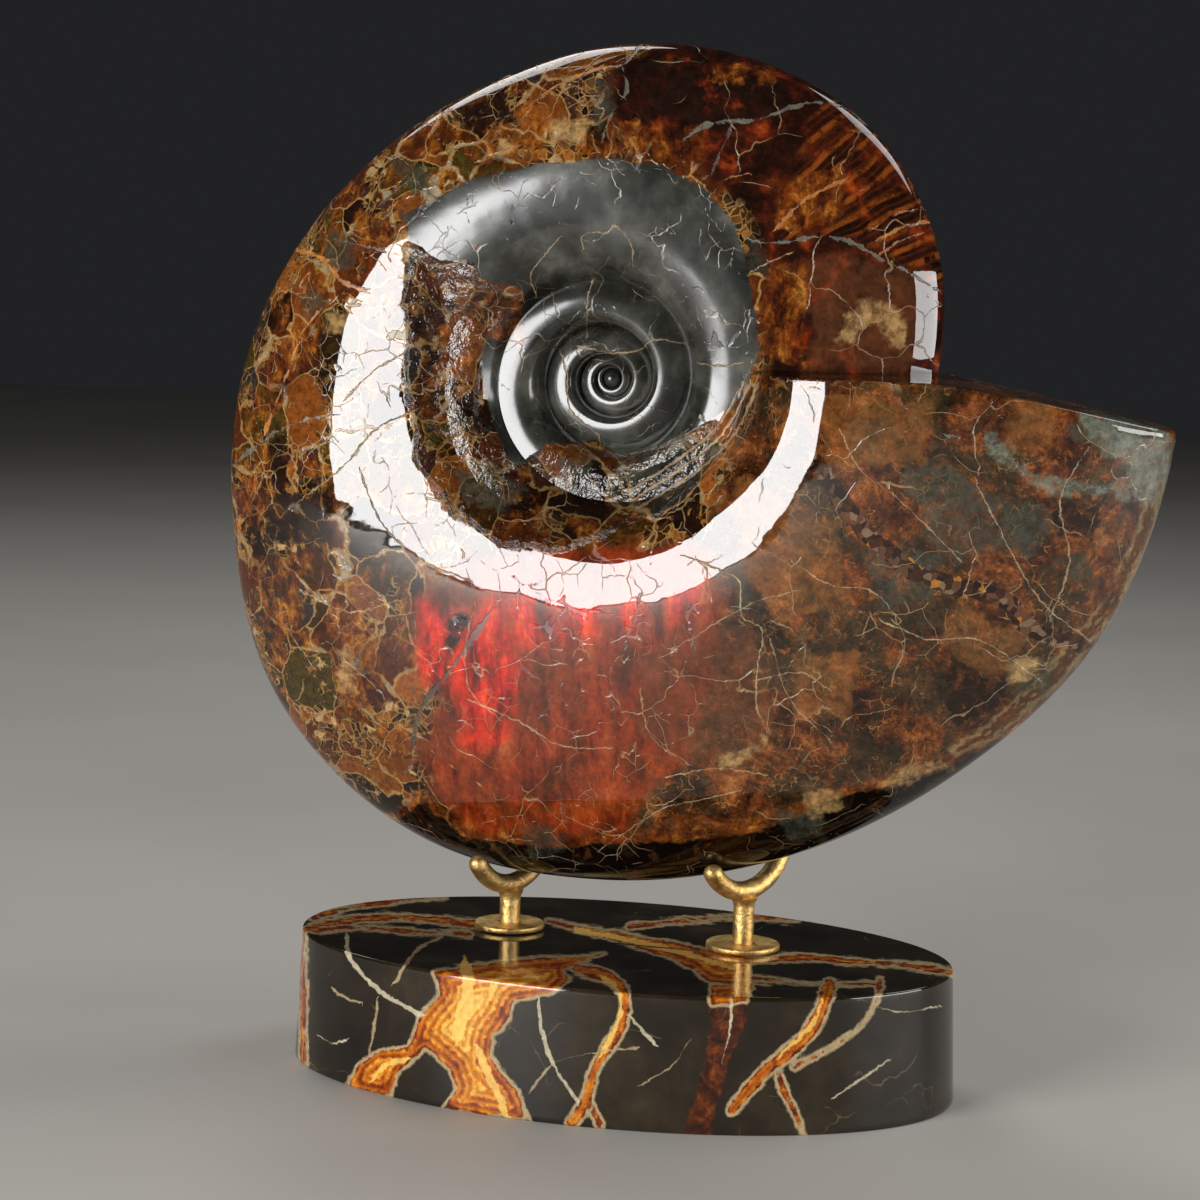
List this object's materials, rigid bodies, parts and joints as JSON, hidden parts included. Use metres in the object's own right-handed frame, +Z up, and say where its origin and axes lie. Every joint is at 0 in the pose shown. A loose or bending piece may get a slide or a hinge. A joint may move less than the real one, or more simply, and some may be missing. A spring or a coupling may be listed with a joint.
{
  "type": "polished craspedodiscus ammonite on a display base",
  "caption": "Polished coiled fossil shell with a cut body chamber, resting upright in brass cradles on an oval veined stone base.",
  "frame": {"origin": "centre of the base's underside, on the surface it stands on", "axes": "+Z up, +X along the base's long axis towards the shell's cut end, +Y from the front face of the shell to the back"},
  "size_m": [0.2877, 0.1212, 0.3078],
  "materials": {
    "fossil": "mirror-polished brown, amber and slate-grey fossil",
    "veined_stone": "polished charcoal stone with amber and cream calcite veins",
    "brass": "satin, slightly hammered"
  },
  "bodies": {
    "root": {"ammonite": "fossil", "base": "veined_stone", "cradle_left": "brass", "cradle_right": "brass", "collar_left": "brass", "collar_right": "brass"}
  },
  "joints": []
}
